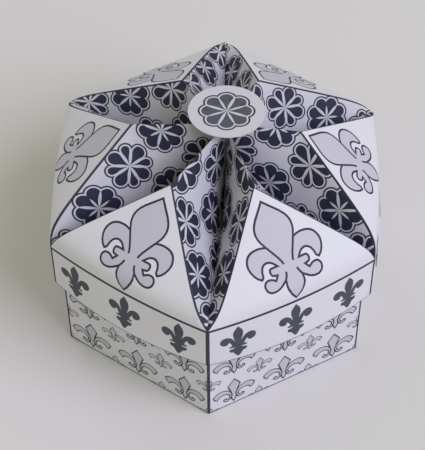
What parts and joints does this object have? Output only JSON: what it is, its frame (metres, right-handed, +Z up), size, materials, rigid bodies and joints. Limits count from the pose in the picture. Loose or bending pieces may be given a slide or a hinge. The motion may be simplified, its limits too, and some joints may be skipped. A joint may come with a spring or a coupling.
{
  "type": "paper gift box",
  "caption": "Hexagonal gift box of printed card: an open tray under a lift-off lid whose triangular panels and pleats gather beneath a round cap.",
  "frame": {"origin": "middle of the tray's underside, on the surface that the box stands on", "axes": "+Z up, +Y from the front corner of the hexagon to the back corner, +X to the right"},
  "size_m": [0.0926, 0.1, 0.0733],
  "materials": {
    "tray_card": "matt printed card",
    "lid_card": "matt printed card",
    "cap_card": "matt printed card"
  },
  "bodies": {
    "tray": {"tray": "tray_card"},
    "lid": {"lid": "lid_card", "cap": "cap_card"}
  },
  "joints": [
    {"name": "lid_lift", "type": "slide", "parent": "tray", "child": "lid", "axis": [0, 0, 1], "range_m": [0, 0.06]}
  ]
}
